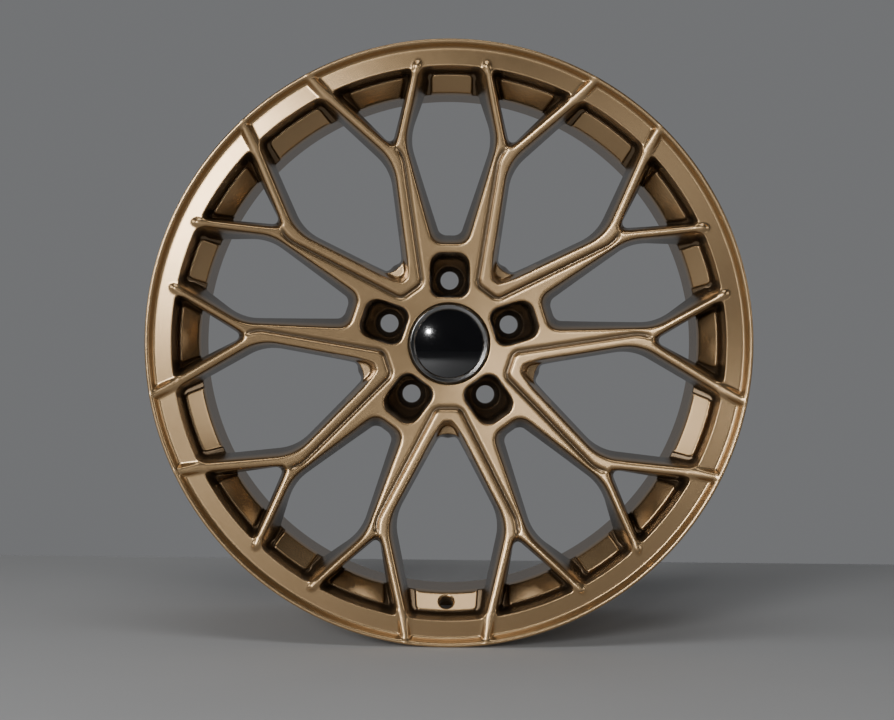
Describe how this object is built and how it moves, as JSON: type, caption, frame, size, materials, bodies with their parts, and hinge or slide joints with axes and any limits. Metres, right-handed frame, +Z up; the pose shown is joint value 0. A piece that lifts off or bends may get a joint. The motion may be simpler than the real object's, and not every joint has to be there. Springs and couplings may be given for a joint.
{
  "type": "wheel rim",
  "caption": "Forged rim with split Y spokes, dished centre, recessed bolt pockets, stepped lip and a pull-off centre cap.",
  "frame": {"origin": "on the wheel's axis, midway across the rim's width", "axes": "+Y along the wheel's axis towards the car, so the street side faces -Y; +Z up through a bolt hole, with the valve hole at the bottom"},
  "size_m": [0.522, 0.24, 0.522],
  "materials": {
    "bronze_forging": "satin bronze paint with fine metal flake over forged aluminium",
    "cap_plastic": "moulded black",
    "dark_chrome": "dark chrome",
    "gloss_black": "gloss black",
    "spring_steel": "drawn wire"
  },
  "bodies": {
    "wheel": {"barrel": "bronze_forging", "outer_ring": "bronze_forging", "hub": "bronze_forging", "stem_01": "bronze_forging", "stem_02": "bronze_forging", "stem_03": "bronze_forging", "stem_04": "bronze_forging", "stem_05": "bronze_forging", "stem_06": "bronze_forging", "stem_07": "bronze_forging", "stem_08": "bronze_forging", "stem_09": "bronze_forging", "stem_10": "bronze_forging", "arm_01": "bronze_forging", "arm_02": "bronze_forging", "arm_03": "bronze_forging", "arm_04": "bronze_forging", "arm_05": "bronze_forging", "arm_06": "bronze_forging", "arm_07": "bronze_forging", "arm_08": "bronze_forging", "arm_09": "bronze_forging", "arm_10": "bronze_forging", "arm_11": "bronze_forging", "arm_12": "bronze_forging", "arm_13": "bronze_forging", "arm_14": "bronze_forging", "arm_15": "bronze_forging", "arm_16": "bronze_forging", "arm_17": "bronze_forging", "arm_18": "bronze_forging", "arm_19": "bronze_forging", "arm_20": "bronze_forging"},
    "centre_cap": {"cap_body": "cap_plastic", "cap_trim_ring": "dark_chrome", "cap_badge": "gloss_black", "cap_spring_wire": "spring_steel"}
  },
  "joints": [
    {"name": "cap_pull_off", "type": "slide", "parent": "wheel", "child": "centre_cap", "axis": [0, -1, 0], "range_m": [0, 0.05]}
  ]
}
